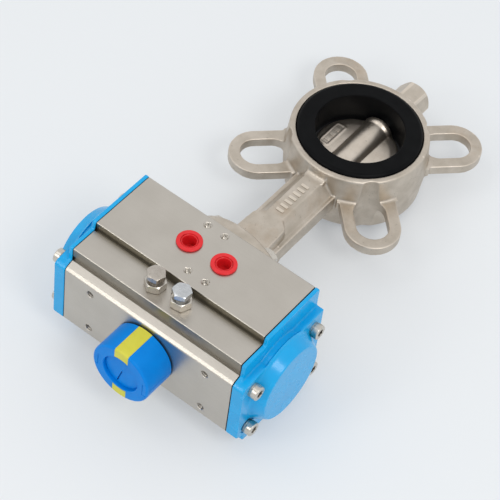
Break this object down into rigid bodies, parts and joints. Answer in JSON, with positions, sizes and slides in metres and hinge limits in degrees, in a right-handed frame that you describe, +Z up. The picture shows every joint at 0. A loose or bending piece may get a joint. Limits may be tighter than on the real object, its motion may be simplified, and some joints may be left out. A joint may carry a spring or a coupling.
{
  "type": "rotary pneumatic actuator with butterfly valve",
  "caption": "Double-acting rack-and-pinion quarter-turn air actuator bolted to a wafer butterfly valve with slotted ears, black seat liner, blue end caps and a striped position indicator.",
  "frame": {"origin": "on the actuator's lower side face, right under the pinion axis", "axes": "+X along the cylinder bore, +Y along the pinion and the valve stem towards the valve, +Z up out of the air-port side and along the pipe"},
  "size_m": [0.1466, 0.2812, 0.0806],
  "materials": {
    "anodised_aluminium": "satin, hard-anodised, warm silver",
    "blue_coating": "glossy blue epoxy coating over a casting",
    "indicator_blue": "semi-gloss moulded plastic",
    "indicator_yellow": "semi-gloss moulded plastic",
    "plug_red": "soft satin plastic",
    "plated_steel": "plated or stainless, smooth",
    "pinion_steel": "machined and plated",
    "cast_stainless": "bead-blasted investment casting",
    "black_rubber": "satin black",
    "bearing_plastic": "natural engineering plastic"
  },
  "bodies": {
    "housing": {"cylinder_body": "anodised_aluminium", "end_cap_screw_1": "plated_steel", "end_cap_screw_2": "plated_steel", "end_cap_screw_3": "plated_steel", "end_cap_screw_4": "plated_steel", "end_cap_screw_5": "plated_steel", "end_cap_screw_6": "plated_steel", "end_cap_screw_7": "plated_steel", "end_cap_screw_8": "plated_steel", "front_pinion_bush": "bearing_plastic", "left_cap_gasket": "black_rubber", "left_end_cap": "blue_coating", "left_port_plug": "plug_red", "left_stop_bolt": "plated_steel", "left_stop_nut": "plated_steel", "lock_washer_1": "plated_steel", "lock_washer_2": "plated_steel", "lock_washer_3": "plated_steel", "lock_washer_4": "plated_steel", "mounting_screw_1": "plated_steel", "mounting_screw_2": "plated_steel", "mounting_screw_3": "plated_steel", "mounting_screw_4": "plated_steel", "rear_pinion_bush": "bearing_plastic", "right_cap_gasket": "black_rubber", "right_end_cap": "blue_coating", "right_port_plug": "plug_red", "right_stop_bolt": "plated_steel", "right_stop_nut": "plated_steel", "seat_liner": "black_rubber", "stem_end_plug": "cast_stainless", "stem_lower_bush": "bearing_plastic", "stem_top_bush": "bearing_plastic", "stub_bush": "bearing_plastic", "thrust_washer": "pinion_steel", "valve_body": "cast_stainless"},
    "rotor": {"pinion": "pinion_steel", "snap_ring": "pinion_steel", "front_pinion_o_ring": "black_rubber", "rear_pinion_o_ring": "black_rubber", "indicator_cap": "indicator_blue", "indicator_stripe_upper": "indicator_yellow", "indicator_stripe_lower": "indicator_yellow", "upper_stem": "pinion_steel", "stem_o_ring": "black_rubber", "valve_disc": "cast_stainless", "lower_stem": "pinion_steel"},
    "left_slide": {"left_piston": "anodised_aluminium", "left_piston_o_ring": "black_rubber", "left_piston_band": "bearing_plastic", "left_guide_pad": "bearing_plastic"},
    "right_slide": {"right_piston": "anodised_aluminium", "right_piston_o_ring": "black_rubber", "right_piston_band": "bearing_plastic", "right_guide_pad": "bearing_plastic"}
  },
  "joints": [
    {"name": "pinion_turn", "type": "hinge", "parent": "housing", "child": "rotor", "pos_m": [0, 0, 0.03], "axis": [0, -1, 0], "range_deg": [0, 90]},
    {"name": "left_piston_stroke", "type": "slide", "parent": "housing", "child": "left_slide", "axis": [-1, 0, 0], "range_m": [0, 0.0158]},
    {"name": "right_piston_stroke", "type": "slide", "parent": "housing", "child": "right_slide", "axis": [1, 0, 0], "range_m": [0, 0.0158]}
  ],
  "couplings": [
    {"joint": "left_piston_stroke", "follows": "pinion_turn", "m_per_rad": 0.01},
    {"joint": "right_piston_stroke", "follows": "pinion_turn", "m_per_rad": 0.01}
  ]
}
